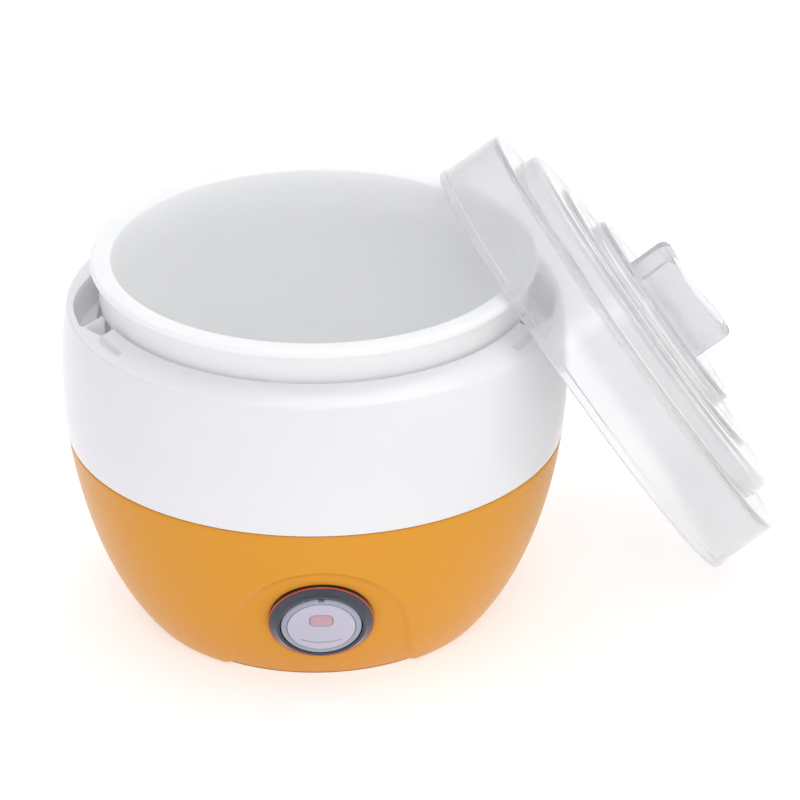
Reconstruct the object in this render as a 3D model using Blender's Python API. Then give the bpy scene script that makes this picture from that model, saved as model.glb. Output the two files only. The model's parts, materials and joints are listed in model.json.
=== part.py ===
"""Round one-litre yogurt maker: white and orange housing, heated well, frosted pot and clear lid.

Metres, +Z up. The origin is on the housing's axis at table level, and -Y is the front, where the
power button is. The lid leans against the right side of the housing with its rim on the table.
"""
import math

import bmesh
import bpy
from mathutils import Matrix, Vector

# Housing: the outside is one bowl curve, split at PARTING into a lower and an upper shell.
BOWL_RADIUS = 0.0840       # at its widest
BOWL_WIDEST = 0.0818       # height of the widest place
BOWL_DEPTH = 0.0995        # how far below that the curve would close
BOWL_SIDE_POWER = 3.28
BOWL_FALL_POWER = 1.67
BOWL_INSET = 0.0012        # how far the curve comes in again over BOWL_INSET_RISE
BOWL_INSET_RISE = 0.026
BOWL_INSET_POWER = 3.3
PARTING = 0.0665
SHOULDER_EDGE = 0.1121     # height of the crease where the shoulder starts
SHOULDER_TOP = 0.1165
SHOULDER_HOLE = 0.0722     # radius of the opening that the pot goes through
SHELL_BOTTOM = 0.0008
WALL = 0.0022
GAP = 0.0003               # clearance between pieces that touch
ROUND_STEPS = 48           # facets around the shells and the lid
CUP_STEPS = 36             # around the pot and its well
SMALL_STEPS = 20           # around a small piece

# Heated well and pot
WELL_RADIUS = 0.0711       # under its flange
WELL_BOTTOM = 0.0400
WELL_LOW_RADIUS = 0.0655
WELL_WALL = 0.0015
WELL_FLANGE = (0.1010, 0.1026, 0.0796)     # low, high, radius
POT_TOP = 0.1283
POT_LIP_RADIUS = 0.0739
POT_LIP_UNDER = 0.1253
POT_SKIRT_RADIUS = 0.0713
POT_SKIRT_BOTTOM = 0.1134
POT_MOUTH = 0.0670
POT_BOTTOM = 0.0427
POT_LOW_RADIUS = 0.0625
POT_WALL = 0.0018

# Heater, hung under the middle of the well's floor
PLATE_BOSS_RADIUS = 0.0255
PLATE_FLANGE_RADIUS = 0.0310
PLATE_FLANGE = (0.0379, 0.0396)
PLATE_TOP = 0.0422
RETAINER = (0.0362, 0.0376)
RETAINER_INNER = 0.0284
RETAINER_OUTER = 0.0386
RETAINER_SCREW_CIRCLE = 0.0350
CLAMP_FOOT = 0.0225        # where each clamp screw is, along X

# Base
COVER_UNDERSIDE = 0.0012
COVER_TOP = 0.0034
COVER_RADIUS = 0.0548
BASE_SCREW_CIRCLE = 0.0470
FOOT_CIRCLE = 0.0460
FOOT_RADIUS = 0.0052
BOSS_TOP = 0.0160
WELL_SCREW_CIRCLE = 0.0773

# Power button, on an axis that is square to the bowl's surface at the front
BUTTON_HEIGHT = 0.0295
BUTTON_TILT = math.radians(20.5)
PANEL_DEPTH = 0.0018       # of the arched recess around it
PANEL_BACKING = 0.0050     # thickness behind the bowl's surface there
ARCH_RADIUS = 0.0286
ARCH_CENTRE = 0.0225
ARCH_FOOT = 0.0313
BEZEL_RADIUS = 0.0170
BUTTON_RADIUS = 0.0132
BUTTON_FACE = 0.0024       # above the recess's surface
INLAY_RADIUS = 0.0111

# Inlet socket at the back
INLET_HEIGHT = 0.0240
INLET_WIDTH = 0.0220
INLET_TALL = 0.0130
INLET_BACK = 0.0500
PIN_SPACING = 0.0086

# Finger pockets in the shoulder, as angles towards the front from +X and -X
POCKET_START = -12.0
POCKET_END = 15.0
POCKET_NEXT = (17.0, 23.0)
POCKET_GROOVE = (24.0, 34.0)
POCKET_OUTER = 0.0792
POCKET_FLOOR = 0.1055

# Lid, in its own frame: +Z is its top side and the origin is the middle of its open rim
LID_RADIUS = 0.0813
LID_HEIGHT = 0.0235
LID_WALL = 0.0018
LID_STEP = (0.0679, 0.0073)      # radius and rise of the first raised step
LID_LEDGE = (0.0528, 0.0017)     # of the low ledge on it
LID_CROWN = (0.0366, 0.0040)     # and of the crown
GRIP_BASE = 0.0186               # half length at its foot
GRIP_TIP = 0.0189                # and at its top
GRIP_HEIGHT = 0.0135
GRIP_DIP = 0.0017
GRIP_WIDTH = 0.0130
LID_AZIMUTH = math.radians(9.2)
LID_ELEVATION = math.radians(34.0)
LID_POSITION = (0.0892, 0.0141)      # of the rim's centre, seen from above
LID_CLEARANCE = 0.0090               # under the rim's lowest point

WHITE = ("white_plastic", (0.88, 0.88, 0.90), 0.20, 0.0)
ORANGE = ("orange_plastic", (0.93, 0.30, 0.02), 0.25, 0.0)
FROSTED = ("frosted_plastic", (0.86, 0.88, 0.88), 0.35, 0.0)
CLEAR = ("clear_plastic", (0.90, 0.91, 0.92), 0.08, 0.0)
BLACK = ("black_plastic", (0.02, 0.025, 0.03), 0.20, 0.0)
GREY = ("grey_plastic", (0.55, 0.56, 0.58), 0.30, 0.0)
PALE = ("pale_plastic", (0.70, 0.70, 0.74), 0.35, 0.0)
RED = ("red_lamp", (0.80, 0.05, 0.03), 0.15, 0.0)
ALUMINIUM = ("aluminium", (0.80, 0.81, 0.82), 0.35, 1.0)
STEEL = ("zinc_steel", (0.62, 0.63, 0.65), 0.35, 1.0)
BRASS = ("brass", (0.78, 0.60, 0.28), 0.30, 1.0)
CERAMIC = ("ceramic", (0.72, 0.70, 0.66), 0.60, 0.0)
SILICONE = ("silicone", (0.60, 0.60, 0.60), 0.70, 0.0)
RUBBER = ("rubber", (0.35, 0.35, 0.36), 0.80, 0.0)
WIRE_RED = ("red_wire", (0.60, 0.04, 0.03), 0.50, 0.0)
WIRE_BLUE = ("blue_wire", (0.05, 0.14, 0.55), 0.50, 0.0)


def clear_scene():
    for item in list(bpy.data.objects):
        bpy.data.objects.remove(item, do_unlink=True)


def material(spec):
    name, colour, roughness, metallic = spec
    found = bpy.data.materials.get(name)
    if found:
        return found
    made = bpy.data.materials.new(name)
    made.use_nodes = True
    shader = made.node_tree.nodes["Principled BSDF"]
    shader.inputs["Base Color"].default_value = (*colour, 1.0)
    shader.inputs["Roughness"].default_value = roughness
    shader.inputs["Metallic"].default_value = metallic
    return made


def add(name, mesh, spec, frame=Matrix.Identity(4)):
    """Put a finished bmesh in the scene as the node called name."""
    bmesh.ops.recalc_face_normals(mesh, faces=mesh.faces)
    data = bpy.data.meshes.new(name)
    mesh.to_mesh(data)
    mesh.free()
    data.materials.append(material(spec))
    data.shade_smooth()
    data.set_sharp_from_angle(angle=math.radians(35))
    item = bpy.data.objects.new(name, data)
    item.matrix_world = frame
    bpy.context.scene.collection.objects.link(item)
    return item


def boolean(target, tool, operation):
    """Cut or join target with tool, which is then only a guide."""
    tool.hide_render = True
    tool.display_type = "WIRE"
    change = target.modifiers.new(tool.name, "BOOLEAN")
    change.operation = operation
    change.object = tool
    change.solver = "EXACT"


def cut(target, tool):
    boolean(target, tool, "DIFFERENCE")


def join(target, tool):
    boolean(target, tool, "UNION")


def fillet(corners, steps=3):
    """Closed outline through (x, z, radius) corners, each rounded by its own radius."""
    outline = []
    for index, (x, z, radius) in enumerate(corners):
        here = Vector((x, z))
        if radius == 0:
            outline.append(here)
            continue
        before = (Vector(corners[index - 1][:2]) - here).normalized()
        after = (Vector(corners[(index + 1) % len(corners)][:2]) - here).normalized()
        half = before.angle(after) / 2
        centre = here + (before + after).normalized() * radius / math.sin(half)
        start = here + before * radius / math.tan(half) - centre
        end = here + after * radius / math.tan(half) - centre
        for step in range(steps + 1):
            share = step / steps
            spoke = (start * (1 - share) + end * share).normalized()
            outline.append(centre + spoke * radius)
    return outline


def turned(outline, steps=SMALL_STEPS):
    """Turn a closed (radius, height) outline round Z. Points at radius 0 become poles."""
    mesh = bmesh.new()
    rings = []
    for radius, height in outline:
        if radius < 1e-6:
            rings.append([mesh.verts.new((0, 0, height))] * steps)
            continue
        ring = []
        for step in range(steps):
            angle = 2 * math.pi * step / steps
            ring.append(mesh.verts.new((radius * math.cos(angle), radius * math.sin(angle), height)))
        rings.append(ring)
    for index, ring in enumerate(rings):
        following = rings[(index + 1) % len(rings)]
        for step in range(steps):
            after = (step + 1) % steps
            corners = (ring[step], ring[after], following[after], following[step])
            corners = list(dict.fromkeys(corners))
            if len(corners) > 2:
                mesh.faces.new(corners)
    return mesh


def prism(outline, low, high):
    """Extrude a closed (x, y) outline from z = low to z = high."""
    mesh = bmesh.new()
    bottom = [mesh.verts.new((x, y, low)) for x, y in outline]
    top = [mesh.verts.new((x, y, high)) for x, y in outline]
    mesh.faces.new(bottom)
    mesh.faces.new(top)
    for index in range(len(outline)):
        after = (index + 1) % len(outline)
        mesh.faces.new((bottom[index], bottom[after], top[after], top[index]))
    return mesh


def block(low, high):
    """A box between two opposite corners."""
    outline = [(low[0], low[1]), (high[0], low[1]), (high[0], high[1]), (low[0], high[1])]
    return prism(outline, low[2], high[2])


def rounded_block(width, height, radius, low, high, steps=3):
    x = width / 2
    y = height / 2
    corners = [(-x, -y, radius), (x, -y, radius), (x, y, radius), (-x, y, radius)]
    return prism(fillet(corners, steps), low, high)


def cylinder(radius, low, high, steps=SMALL_STEPS):
    return turned([(0, low), (radius, low), (radius, high), (0, high)], steps)


def tube(inner, outer, low, high, steps=SMALL_STEPS):
    return turned([(inner, low), (outer, low), (outer, high), (inner, high)], steps)


def sector(inner, outer_at, low, high, start, end, side, steps=6):
    """A curved block on the left (side -1) or right (side +1), from start to end degrees to the front."""
    mesh = bmesh.new()
    rows = []
    for step in range(steps + 1):
        share = step / steps
        angle = math.radians(start + (end - start) * share)
        along = Vector((side * math.cos(angle), -math.sin(angle), 0))
        outer = outer_at(share)
        corners = ((inner, low), (outer, low), (outer, high), (inner, high))
        rows.append([mesh.verts.new(along * radius + Vector((0, 0, z))) for radius, z in corners])
    for row, following in zip(rows, rows[1:]):
        for index in range(4):
            after = (index + 1) % 4
            mesh.faces.new((row[index], row[after], following[after], following[index]))
    mesh.faces.new(rows[0])
    mesh.faces.new(rows[-1])
    return mesh


def around(radius, degrees, height=0.0):
    """Frame at a place round the axis, turned so that its +X points outwards."""
    turn = Matrix.Rotation(math.radians(degrees), 4, "Z")
    return turn @ Matrix.Translation((radius, 0, height))


def bowl(height):
    """The housing's outer radius at a height."""
    fall = BOWL_WIDEST - height
    if fall > 0:
        return BOWL_RADIUS * (1 - (fall / BOWL_DEPTH) ** BOWL_FALL_POWER) ** (1 / BOWL_SIDE_POWER)
    return BOWL_RADIUS - BOWL_INSET * (-fall / BOWL_INSET_RISE) ** BOWL_INSET_POWER


def bowl_curve(low, high, inset=0.0, steps=12):
    """Points up the bowl's outside, or inside it by inset."""
    heights = [low + (high - low) * step / steps for step in range(steps + 1)]
    return [(bowl(height) - inset, height) for height in heights]


def bowl_solid(inset, low=-0.004, high=0.080, steps=12):
    curve = [(bowl(max(height, -0.002)) - inset, height) for _, height in bowl_curve(low, high, 0, steps)]
    return turned([(0, low)] + curve + [(0, high)], ROUND_STEPS)


def button_frame():
    """Frame of the power button: origin on the recess's surface, +Z out of the housing, +Y up it."""
    middle = Vector((0, -(bowl(BUTTON_HEIGHT) - PANEL_DEPTH), BUTTON_HEIGHT))
    turn = Matrix.Rotation(math.pi / 2 + BUTTON_TILT, 4, "X")
    return Matrix.Translation(middle) @ turn


def lid_frame():
    """Frame of the lid: +Z is its top side, +X points down the slope and +Y is level."""
    tilt = math.pi / 2 - LID_ELEVATION
    turn = Matrix.Rotation(LID_AZIMUTH, 4, "Z") @ Matrix.Rotation(tilt, 4, "Y")
    height = LID_RADIUS * math.cos(LID_ELEVATION) + LID_CLEARANCE
    return Matrix.Translation((LID_POSITION[0], LID_POSITION[1], height)) @ turn


def make_upper_shell():
    low = PARTING + GAP / 2
    tongue = 0.0050
    tongue_radius = bowl(low - tongue) - WALL - GAP
    slope = (SHOULDER_TOP - SHOULDER_EDGE) / (bowl(SHOULDER_EDGE) - SHOULDER_HOLE)
    edge = 0.0006
    lip = 0.0018
    lip_bottom = 0.1031
    outline = bowl_curve(low, SHOULDER_EDGE - edge, 0, 6)
    outline += [(bowl(SHOULDER_EDGE) - edge * 0.3, SHOULDER_EDGE - edge * 0.2)]
    outline += [(bowl(SHOULDER_EDGE) - edge * 1.2, SHOULDER_EDGE + edge * 0.5)]
    outline += [(SHOULDER_HOLE + edge, SHOULDER_TOP - edge * slope)]
    outline += [(SHOULDER_HOLE, SHOULDER_TOP - edge), (SHOULDER_HOLE, lip_bottom)]
    outline += [(SHOULDER_HOLE + lip, lip_bottom), (SHOULDER_HOLE + lip, SHOULDER_TOP - WALL - lip * slope)]
    inner = bowl_curve(low + 0.0015, SHOULDER_EDGE - WALL, WALL, 4)
    outline += reversed(inner)
    outline += [(tongue_radius - WALL * 0.7, low), (tongue_radius - WALL * 0.7, low - tongue)]
    outline += [(tongue_radius, low - tongue), (tongue_radius + GAP, low)]
    shell = add("upper_shell", turned(outline, ROUND_STEPS), WHITE)
    for index in range(4):
        degrees = 45 + 90 * index
        boss = add(f"shell_boss_{index}", cylinder(0.0029, lip_bottom, 0.1125, 12), WHITE,
                   around(WELL_SCREW_CIRCLE, degrees))
        pilot = add(f"shell_pilot_{index}", cylinder(0.0014, 0.1000, 0.1105, 12), WHITE,
                    around(WELL_SCREW_CIRCLE, degrees))
        join(shell, boss)
        cut(shell, pilot)
    for side in (-1, 1):
        cut_finger_pocket(shell, side)
    return shell


def cut_finger_pocket(shell, side):
    """A deep crescent, a rib, a small pocket, then a groove round a mound that ends at a bump."""
    label = "left" if side < 0 else "right"
    high = 0.1200
    reach = (POCKET_START - 3, POCKET_NEXT[1] + 3)
    housing = sector(0.0724, lambda share: 0.0810, 0.1033, 0.1114, *reach, side)
    join(shell, add(f"pocket_housing_{label}", housing, WHITE))

    def crescent(share):
        return 0.0735 + (POCKET_OUTER - 0.0735) * math.sin(math.pi / 2 * min(1.0, share / 0.6))

    deep = sector(0.0710, crescent, POCKET_FLOOR, high, POCKET_START, POCKET_END, side)
    cut(shell, add(f"pocket_deep_{label}", deep, WHITE))
    small_floor = POCKET_FLOOR + 0.002
    small = sector(0.0710, lambda share: 0.0780 - 0.0020 * share, small_floor, high, *POCKET_NEXT, side, 3)
    cut(shell, add(f"pocket_small_{label}", small, WHITE))
    groove = sector(0.0768, lambda share: POCKET_OUTER, 0.1122, high, *POCKET_GROOVE, side, 4)
    cut(shell, add(f"pocket_groove_{label}", groove, WHITE))


def arch_outline(grow):
    """Outline of the panel round the button, seen from the front: a half circle on flared legs."""
    radius = ARCH_RADIUS + grow
    points = [(ARCH_FOOT + grow, -0.006)]
    for step in range(25):
        angle = math.pi * step / 24
        points.append((radius * math.cos(angle), ARCH_CENTRE + radius * math.sin(angle)))
    return points + [(-ARCH_FOOT - grow, -0.006)]


def arch_prism(name, grow):
    """The panel's outline as a block that runs out through the front wall."""
    upright = Matrix.Rotation(math.pi / 2, 4, "X")
    return add(name, prism(arch_outline(grow), 0.040, 0.100), ORANGE, upright)


def make_lower_shell():
    high = PARTING - GAP / 2
    inner = bowl_curve(SHELL_BOTTOM, high, WALL, 7)
    outer = bowl_curve(SHELL_BOTTOM, high, 0, 10)
    shell = add("lower_shell", turned(outer + list(reversed(inner)), ROUND_STEPS), ORANGE)

    backing = arch_prism("panel_backing", 0.0020)
    limit = [(bowl(z) - 0.0010, z) for _, z in bowl_curve(SHELL_BOTTOM + 0.0006, 0.0560, 0, 7)]
    limit += [(bowl(z) - PANEL_BACKING, z) for _, z in reversed(bowl_curve(0.0040, 0.0560, 0, 5))]
    ring = add("panel_ring", turned(limit, ROUND_STEPS), ORANGE)
    boolean(backing, ring, "INTERSECT")
    join(shell, backing)

    recess = arch_prism("panel_recess", 0.0)
    half_step = Matrix.Rotation(math.pi / ROUND_STEPS, 4, "Z")
    cut(recess, add("panel_floor", bowl_solid(PANEL_DEPTH), ORANGE, half_step))
    cut(shell, recess)
    seat = add("bezel_seat", cylinder(BEZEL_RADIUS + GAP, -0.0021, 0.020, 30), ORANGE, button_frame())
    cut(shell, seat)
    hole = add("bezel_hole", cylinder(0.0155, -0.020, 0.020, 26), ORANGE, button_frame())
    cut(shell, hole)
    make_base_bosses(shell)
    gap_width = INLET_WIDTH / 2 + GAP
    gap_height = INLET_TALL / 2 + GAP
    slot_low = (-gap_width, 0.050, INLET_HEIGHT - gap_height)
    slot_high = (gap_width, 0.090, INLET_HEIGHT + gap_height)
    slot = block(slot_low, slot_high)
    cut(shell, add("inlet_slot", slot, ORANGE))


def make_base_bosses(shell):
    """Four posts for the base screws, each tied to the wall by a rib."""
    bottom = COVER_TOP + GAP
    for index in range(4):
        frame = around(BASE_SCREW_CIRCLE, 45 + 90 * index)
        post = add(f"base_post_{index}", cylinder(0.0038, bottom, BOSS_TOP, 12), ORANGE, frame)
        reach = bowl(BOSS_TOP) - BASE_SCREW_CIRCLE - 0.0012
        rib_foot = bottom + 0.0010
        rib_outline = [(0.0, rib_foot), (bowl(rib_foot) - BASE_SCREW_CIRCLE - 0.0012, rib_foot)]
        rib_outline += [(reach, BOSS_TOP - 0.0015), (0.0, BOSS_TOP - 0.0015)]
        upright = Matrix.Rotation(math.pi / 2, 4, "X")
        rib = add(f"base_rib_{index}", prism(rib_outline, -0.0009, 0.0009), ORANGE, frame @ upright)
        pilot = add(f"base_pilot_{index}", cylinder(0.0018, 0.0, BOSS_TOP - 0.0022, 10), ORANGE, frame)
        join(post, rib)
        join(shell, post)
        cut(shell, pilot)


def make_inner_well():
    """The white cup that the pot stands in, with a hole in its floor for the heater plate."""
    low, high, radius = WELL_FLANGE
    wall = WELL_WALL
    floor = WELL_BOTTOM + wall
    hole = PLATE_BOSS_RADIUS + 0.0005
    edge = 0.0003
    corners = [(radius, high, edge), (radius, low, edge), (WELL_RADIUS, low, 0)]
    corners += [(WELL_LOW_RADIUS, WELL_BOTTOM, 0.0112), (hole, WELL_BOTTOM, 0)]
    corners += [(hole, floor, 0), (WELL_LOW_RADIUS - wall, floor, 0.0112 - wall)]
    corners += [(WELL_RADIUS - wall, low, 0), (WELL_RADIUS - wall, high, edge)]
    well = add("inner_well", turned(fillet(corners, 3), CUP_STEPS), WHITE)
    for index in range(4):
        frame = around(WELL_SCREW_CIRCLE, 45 + 90 * index)
        cut(well, add(f"well_hole_{index}", cylinder(0.0014, low - 0.002, high + 0.002, 12), WHITE, frame))
    for index in range(3):
        frame = around(RETAINER_SCREW_CIRCLE, 32 + 120 * index)
        boss = cylinder(0.0032, RETAINER[1] + GAP, floor - 0.0005, 12)
        join(well, add(f"well_boss_{index}", boss, WHITE, frame))
        cut(well, add(f"well_pilot_{index}", cylinder(0.0014, 0.0300, floor - 0.0006, 12), WHITE, frame))


def make_inner_pot():
    """The frosted pot: a lip, a short skirt under it, and a tapered cup with a rounded foot."""
    wall = POT_WALL
    neck = POT_MOUTH + wall
    floor = POT_BOTTOM + wall
    corners = [(0, POT_BOTTOM, 0), (POT_LOW_RADIUS, POT_BOTTOM, 0.0120), (neck - 0.0004, 0.1120, 0)]
    corners += [(neck, POT_LIP_UNDER - 0.0007, 0), (POT_SKIRT_RADIUS - 0.0015, POT_LIP_UNDER - 0.0007, 0)]
    corners += [(POT_SKIRT_RADIUS - 0.0016, POT_SKIRT_BOTTOM, 0.0003)]
    corners += [(POT_SKIRT_RADIUS - 0.0003, POT_SKIRT_BOTTOM, 0.0003)]
    corners += [(POT_SKIRT_RADIUS, POT_LIP_UNDER, 0.0004), (POT_LIP_RADIUS, POT_LIP_UNDER, 0.0010)]
    corners += [(POT_LIP_RADIUS, POT_TOP, 0.0011), (POT_MOUTH, POT_TOP, 0.0008)]
    corners += [(POT_MOUTH - 0.0004, 0.1120, 0), (POT_LOW_RADIUS - wall, floor, 0.0102), (0, floor, 0)]
    add("inner_pot", turned(fillet(corners, 2), CUP_STEPS), FROSTED)


def make_heater():
    boss = PLATE_BOSS_RADIUS
    low, high = PLATE_FLANGE
    corners = [(0, low), (PLATE_FLANGE_RADIUS, low), (PLATE_FLANGE_RADIUS, high), (boss, high)]
    corners += [(boss, PLATE_TOP - 0.0005), (boss - 0.0005, PLATE_TOP), (0, PLATE_TOP)]
    plate = add("heater_plate", turned(corners, 24), ALUMINIUM)
    for side in (-1, 1):
        frame = Matrix.Translation((side * CLAMP_FOOT, 0, 0))
        cut(plate, add(f"plate_hole_{side}", cylinder(0.0015, 0.0300, 0.0410, 10), ALUMINIUM, frame))
    cell = add("ptc_heater", block((-0.013, -0.008, 0.0351), (0.013, 0.008, 0.0376)), CERAMIC)
    join(cell, add("ptc_tab", block((0.0100, 0.0070, 0.0360), (0.0122, 0.0110, 0.0366)), CERAMIC))
    add("insulation_pad", block((-0.014, -0.009, 0.0338), (0.014, 0.009, 0.0348)), SILICONE)
    make_heater_clamp()
    make_plate_retainer()


def make_heater_clamp():
    """A steel bridge that presses the heating cell against the plate."""
    top = PLATE_FLANGE[0] - GAP
    thick = 0.0013
    bridge = 0.0335
    leg = 0.0178
    foot = 0.0258
    outline = [(-foot, top), (-foot, top - thick), (-leg - thick, top - thick), (-leg, bridge - thick)]
    outline += [(leg, bridge - thick), (leg + thick, top - thick), (foot, top - thick), (foot, top)]
    outline += [(leg, top), (leg - thick, bridge), (-leg + thick, bridge), (-leg, top)]
    upright = Matrix.Rotation(math.pi / 2, 4, "X")
    clamp = add("heater_clamp", prism(outline, -0.0065, 0.0065), STEEL, upright)
    for side in (-1, 1):
        frame = Matrix.Translation((side * CLAMP_FOOT, 0, 0))
        cut(clamp, add(f"clamp_hole_{side}", cylinder(0.0015, 0.030, 0.040, 12), STEEL, frame))
        name = f"clamp_screw_{1 if side < 0 else 2}"
        make_screw(name, top - thick - GAP, 0.0407, 0.0011, 0.0023, frame)


def make_plate_retainer():
    low, high = RETAINER
    ring = add("plate_retainer", tube(RETAINER_INNER, RETAINER_OUTER, low, high, 24), STEEL)
    for index in range(3):
        frame = around(RETAINER_SCREW_CIRCLE, 32 + 120 * index)
        cut(ring, add(f"retainer_hole_{index}", cylinder(0.0014, 0.0300, 0.0400, 12), STEEL, frame))
        make_screw(f"retainer_screw_{index + 1}", low - GAP, 0.0407, 0.0010, 0.0022, frame)


def make_screw(name, seat, tip, shank, head, frame):
    """A pan-head screw driven upwards, with the underside of its head at seat."""
    thick = head * 0.72
    outline = [(0, seat - thick), (head * 0.75, seat - thick), (head, seat - thick * 0.6), (head, seat)]
    outline += [(shank, seat), (shank, tip - shank), (shank * 0.25, tip), (0, tip)]
    return add(name, turned(outline, 8), STEEL, frame)


def cut_cross(screw, name, seat, head, frame):
    """Cross recess in the head of a screw."""
    long = head * 0.62
    thin = head * 0.16
    low = seat - head
    high = seat - head * 0.32
    bar = add(f"{name}_slot", block((-long, -thin, low), (long, thin, high)), STEEL, frame)
    join(bar, add(f"{name}_slot_2", block((-thin, -long, low), (thin, long, high)), STEEL, frame))
    cut(screw, bar)


def make_well_screws():
    for index in range(4):
        frame = around(WELL_SCREW_CIRCLE, 45 + 90 * index)
        make_screw(f"well_screw_{index + 1}", WELL_FLANGE[0] - GAP, 0.1095, 0.0010, 0.0022, frame)


def make_thermostat():
    """Round snap-action thermostat against the plate, with two side terminals."""
    frame = Matrix.Translation((0, 0.0175, 0))
    outline = [(0, 0.0300), (0.0062, 0.0300), (0.0062, 0.0345)]
    outline += [(0.0077, 0.0345), (0.0077, 0.0376), (0, 0.0376)]
    body = add("thermostat", turned(outline, 24), BLACK, frame)
    for side in (-1, 1):
        low = (min(side * 0.005, side * 0.0100), -0.0020, 0.0309)
        high = (max(side * 0.005, side * 0.0100), 0.0020, 0.0316)
        join(body, add(f"thermostat_tab_{side}", block(low, high), STEEL, frame))


def make_thermal_fuse():
    along_x = Matrix.Translation((0, -0.0145, 0.0352)) @ Matrix.Rotation(math.pi / 2, 4, "Y")
    lead = 0.0005
    outline = [(0, -0.0090), (lead, -0.0090), (lead, -0.0052), (0.0019, -0.0046), (0.0019, 0.0046)]
    outline += [(lead, 0.0052), (lead, 0.0090), (0, 0.0090)]
    add("thermal_fuse", turned(outline, 12), CERAMIC, along_x)


def make_bezel():
    """Dark ring and sleeve that hold the button, closed behind by a plate with a hole for the stem."""
    bore = BUTTON_RADIUS + 0.00035
    sleeve = 0.0151
    rise = BUTTON_FACE - 0.0002
    corners = [(BEZEL_RADIUS, -0.0018), (BEZEL_RADIUS, 0.0002), (BEZEL_RADIUS - 0.0005, 0.0009)]
    corners += [(BEZEL_RADIUS - 0.0016, 0.0016), (bore + 0.0009, rise), (bore, rise - 0.0003)]
    corners += [(bore, -0.0070)]
    corners += [(0.0054, -0.0070), (0.0054, -0.0082), (sleeve, -0.0082), (sleeve, -0.0018)]
    add("button_bezel", turned(corners, 28), BLACK, button_frame())


def make_button():
    """Cap with a skirt and a hollow stem; an inlaid disc and a small window lie in its face."""
    frame = button_frame()
    face = BUTTON_FACE
    skirt = BUTTON_RADIUS - 0.0016
    recess = INLAY_RADIUS + 0.0003
    corners = [(0, face - 0.0007), (recess, face - 0.0007), (recess, face), (BUTTON_RADIUS - 0.0006, face)]
    corners += [(BUTTON_RADIUS - 0.0001, face - 0.0004), (BUTTON_RADIUS, face - 0.0009)]
    corners += [(BUTTON_RADIUS, -0.0040)]
    corners += [(skirt, -0.0040), (skirt, face - 0.0018), (0.0049, face - 0.0018), (0.0049, -0.0090)]
    corners += [(0.0034, -0.0090), (0.0034, face - 0.0018), (0, face - 0.0018)]
    cap = add("power_button", turned(corners, 28), GREY, frame)
    notch = frame @ Matrix.Translation((0, BUTTON_RADIUS, 0))
    cut(cap, add("button_notch", block((-0.0011, -0.0009, 0.0), (0.0011, 0.0009, 0.005)), GREY, notch))

    inlay = add("button_inlay", cylinder(INLAY_RADIUS, face - 0.00045, face + 0.00005, 28), PALE, frame)
    window_frame = frame @ Matrix.Translation((0, 0.0032, 0))
    opening = rounded_block(0.0078, 0.0056, 0.0021, 0.0, 0.006, 4)
    cut(inlay, add("window_opening", opening, PALE, window_frame))
    window = rounded_block(0.0072, 0.0050, 0.0018, face - 0.00045, face + 0.00015, 4)
    add("indicator_window", window, RED, window_frame)


def make_switch():
    """Switch housing behind the bezel, with a well for the stem and two solder tabs."""
    frame = button_frame()
    front = -0.0085
    back = -0.0152
    body = add("switch_body", rounded_block(0.0160, 0.0122, 0.0010, back, front, 1), BLACK, frame)
    cut(body, add("switch_bore", cylinder(0.0053, -0.0120, 0.0, 24), BLACK, frame))
    for side in (-1, 1):
        low = (side * 0.0045 - 0.0012, -0.0003, back - 0.0035)
        high = (side * 0.0045 + 0.0012, 0.0003, back + 0.001)
        join(body, add(f"switch_tab_{side}", block(low, high), STEEL, frame))
    outline = [(0, -0.0117), (0.0018, -0.0117), (0.0018, -0.0108), (0.0015, -0.0108), (0.0015, -0.0060)]
    outline += [(0.0013, -0.0052), (0.0007, -0.0046), (0, -0.0044)]
    add("indicator_lamp", turned(outline, 12), RED, frame)


def make_button_spring():
    """Compression spring round the button's stem."""
    turns = 4
    per_turn = 10
    radius = 0.0062
    wire = 0.00035
    start = -0.0070 + GAP + wire
    end = BUTTON_FACE - 0.0018 - GAP - wire
    curve = bpy.data.curves.new("button_spring", "CURVE")
    curve.dimensions = "3D"
    curve.bevel_depth = wire
    curve.bevel_resolution = 0
    curve.use_fill_caps = True
    spline = curve.splines.new("POLY")
    count = turns * per_turn + 1
    spline.points.add(count - 1)
    for index in range(count):
        angle = 2 * math.pi * index / per_turn
        height = start + (end - start) * index / (count - 1)
        spline.points[index].co = (radius * math.cos(angle), radius * math.sin(angle), height, 1.0)
    curve.materials.append(material(STEEL))
    spring = bpy.data.objects.new("button_spring", curve)
    spring.matrix_world = button_frame()
    bpy.context.scene.collection.objects.link(spring)


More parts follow.
